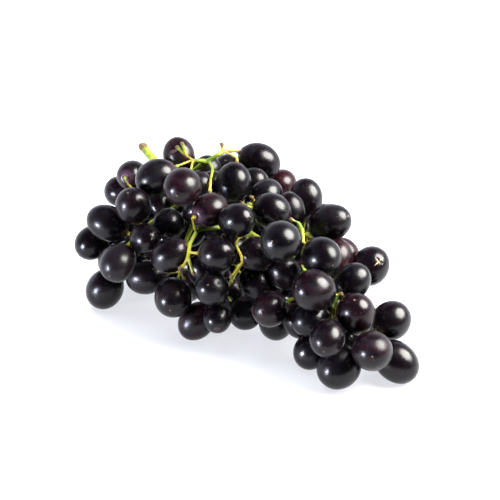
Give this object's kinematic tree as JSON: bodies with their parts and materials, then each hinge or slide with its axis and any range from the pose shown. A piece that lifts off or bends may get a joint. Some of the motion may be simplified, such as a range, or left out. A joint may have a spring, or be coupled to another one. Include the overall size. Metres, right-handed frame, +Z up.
{
  "type": "bunch of grapes",
  "caption": "Ripe bunch of black table grapes lying on its side, oval bloomed berries packed around a branched green stem.",
  "frame": {"origin": "middle of the bounding box, at the surface that the bunch lies on", "axes": "+X along the bunch from the stem end to the tip, +Z up"},
  "size_m": [0.217, 0.143, 0.094],
  "materials": {
    "grape_skin": "dark purple-black waxed skin with a pale bluish bloom",
    "stem_green": "fresh yellow-green stem with brown cut and torn ends"
  },
  "bodies": {
    "root": {"back_cluster": "grape_skin", "back_core": "grape_skin", "crown_berry_01": "grape_skin", "crown_berry_02": "grape_skin", "crown_berry_03": "grape_skin", "crown_berry_04": "grape_skin", "crown_berry_05": "grape_skin", "crown_berry_06": "grape_skin", "crown_berry_07": "grape_skin", "crown_berry_08": "grape_skin", "crown_berry_09": "grape_skin", "crown_cluster": "grape_skin", "crown_row": "grape_skin", "far_pair": "grape_skin", "front_berry_01": "grape_skin", "front_berry_02": "grape_skin", "front_berry_03": "grape_skin", "front_berry_04": "grape_skin", "front_berry_05": "grape_skin", "front_berry_06": "grape_skin", "front_berry_07": "grape_skin", "front_berry_08": "grape_skin", "front_berry_09": "grape_skin", "front_berry_10": "grape_skin", "left_core_row": "grape_skin", "left_floor_row": "grape_skin", "low_cluster": "grape_skin", "middle_cluster": "grape_skin", "middle_core_row": "grape_skin", "middle_floor_row": "grape_skin", "rear_pair": "grape_skin", "right_core_row": "grape_skin", "right_floor_row": "grape_skin", "shoulder_berry_01": "grape_skin", "shoulder_berry_02": "grape_skin", "shoulder_berry_03": "grape_skin", "shoulder_berry_04": "grape_skin", "shoulder_berry_05": "grape_skin", "shoulder_berry_06": "grape_skin", "shoulder_berry_07": "grape_skin", "shoulder_berry_08": "grape_skin", "shoulder_berry_09": "grape_skin", "shoulder_berry_10": "grape_skin", "shoulder_berry_11": "grape_skin", "shoulder_cluster": "grape_skin", "stem": "stem_green", "tip_berry_01": "grape_skin", "tip_berry_02": "grape_skin", "tip_berry_03": "grape_skin", "tip_berry_04": "grape_skin", "tip_berry_05": "grape_skin", "tip_berry_06": "grape_skin", "tip_berry_07": "grape_skin", "tip_berry_08": "grape_skin", "tip_berry_09": "grape_skin", "tip_berry_10": "grape_skin", "tip_berry_11": "grape_skin", "toe_cluster": "grape_skin", "toe_floor_row": "grape_skin", "upper_cluster": "grape_skin"}
  },
  "joints": []
}
